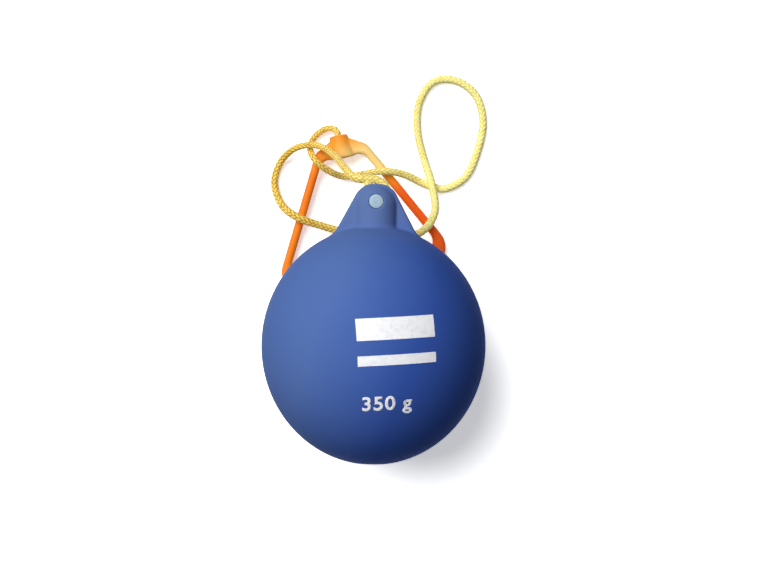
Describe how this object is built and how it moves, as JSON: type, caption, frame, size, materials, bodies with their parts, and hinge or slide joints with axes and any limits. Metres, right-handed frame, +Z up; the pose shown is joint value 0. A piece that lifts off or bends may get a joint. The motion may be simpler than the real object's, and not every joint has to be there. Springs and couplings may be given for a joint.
{
  "type": "throwing hammer",
  "caption": "Training throwing hammer: hollow moulded ball with a slotted lug and pin, a braided cord with a spliced eye, and a moulded three-sided hand grip.",
  "frame": {"origin": "middle of the small flat under the ball, on the surface that the hammer lies on", "axes": "+Y along the ball's axis towards the lug, +Z up, +X to the right seen from above"},
  "size_m": [0.1431, 0.2524, 0.1394],
  "materials": {
    "ball_plastic": "satin moulded blue",
    "sand": "loose dry sand",
    "plug_plastic": "satin blue",
    "pin_metal": "dull metal",
    "cord_braid": "hollow braid, matt yellow",
    "handle_plastic": "semi-gloss moulded orange"
  },
  "bodies": {
    "head": {"ball_shell": "ball_plastic", "sand_fill": "sand", "filler_plug": "plug_plastic", "lug_pin": "pin_metal"},
    "tether": {"cord_eye": "cord_braid", "cord": "cord_braid", "stopper_knot": "cord_braid"},
    "handle": {"handle_frame": "handle_plastic"}
  },
  "joints": [
    {"name": "cord_swing", "type": "hinge", "parent": "head", "child": "tether", "pos_m": [0, 0.0895, 0.0697], "axis": [0, 0, 1], "range_deg": [-34, 8]},
    {"name": "handle_swivel", "type": "hinge", "parent": "tether", "child": "handle", "pos_m": [-0.02614, 0.13635, 0.00897], "axis": [-0.2179, 0.9748, 0.0479], "range_deg": [-2, 2]}
  ]
}
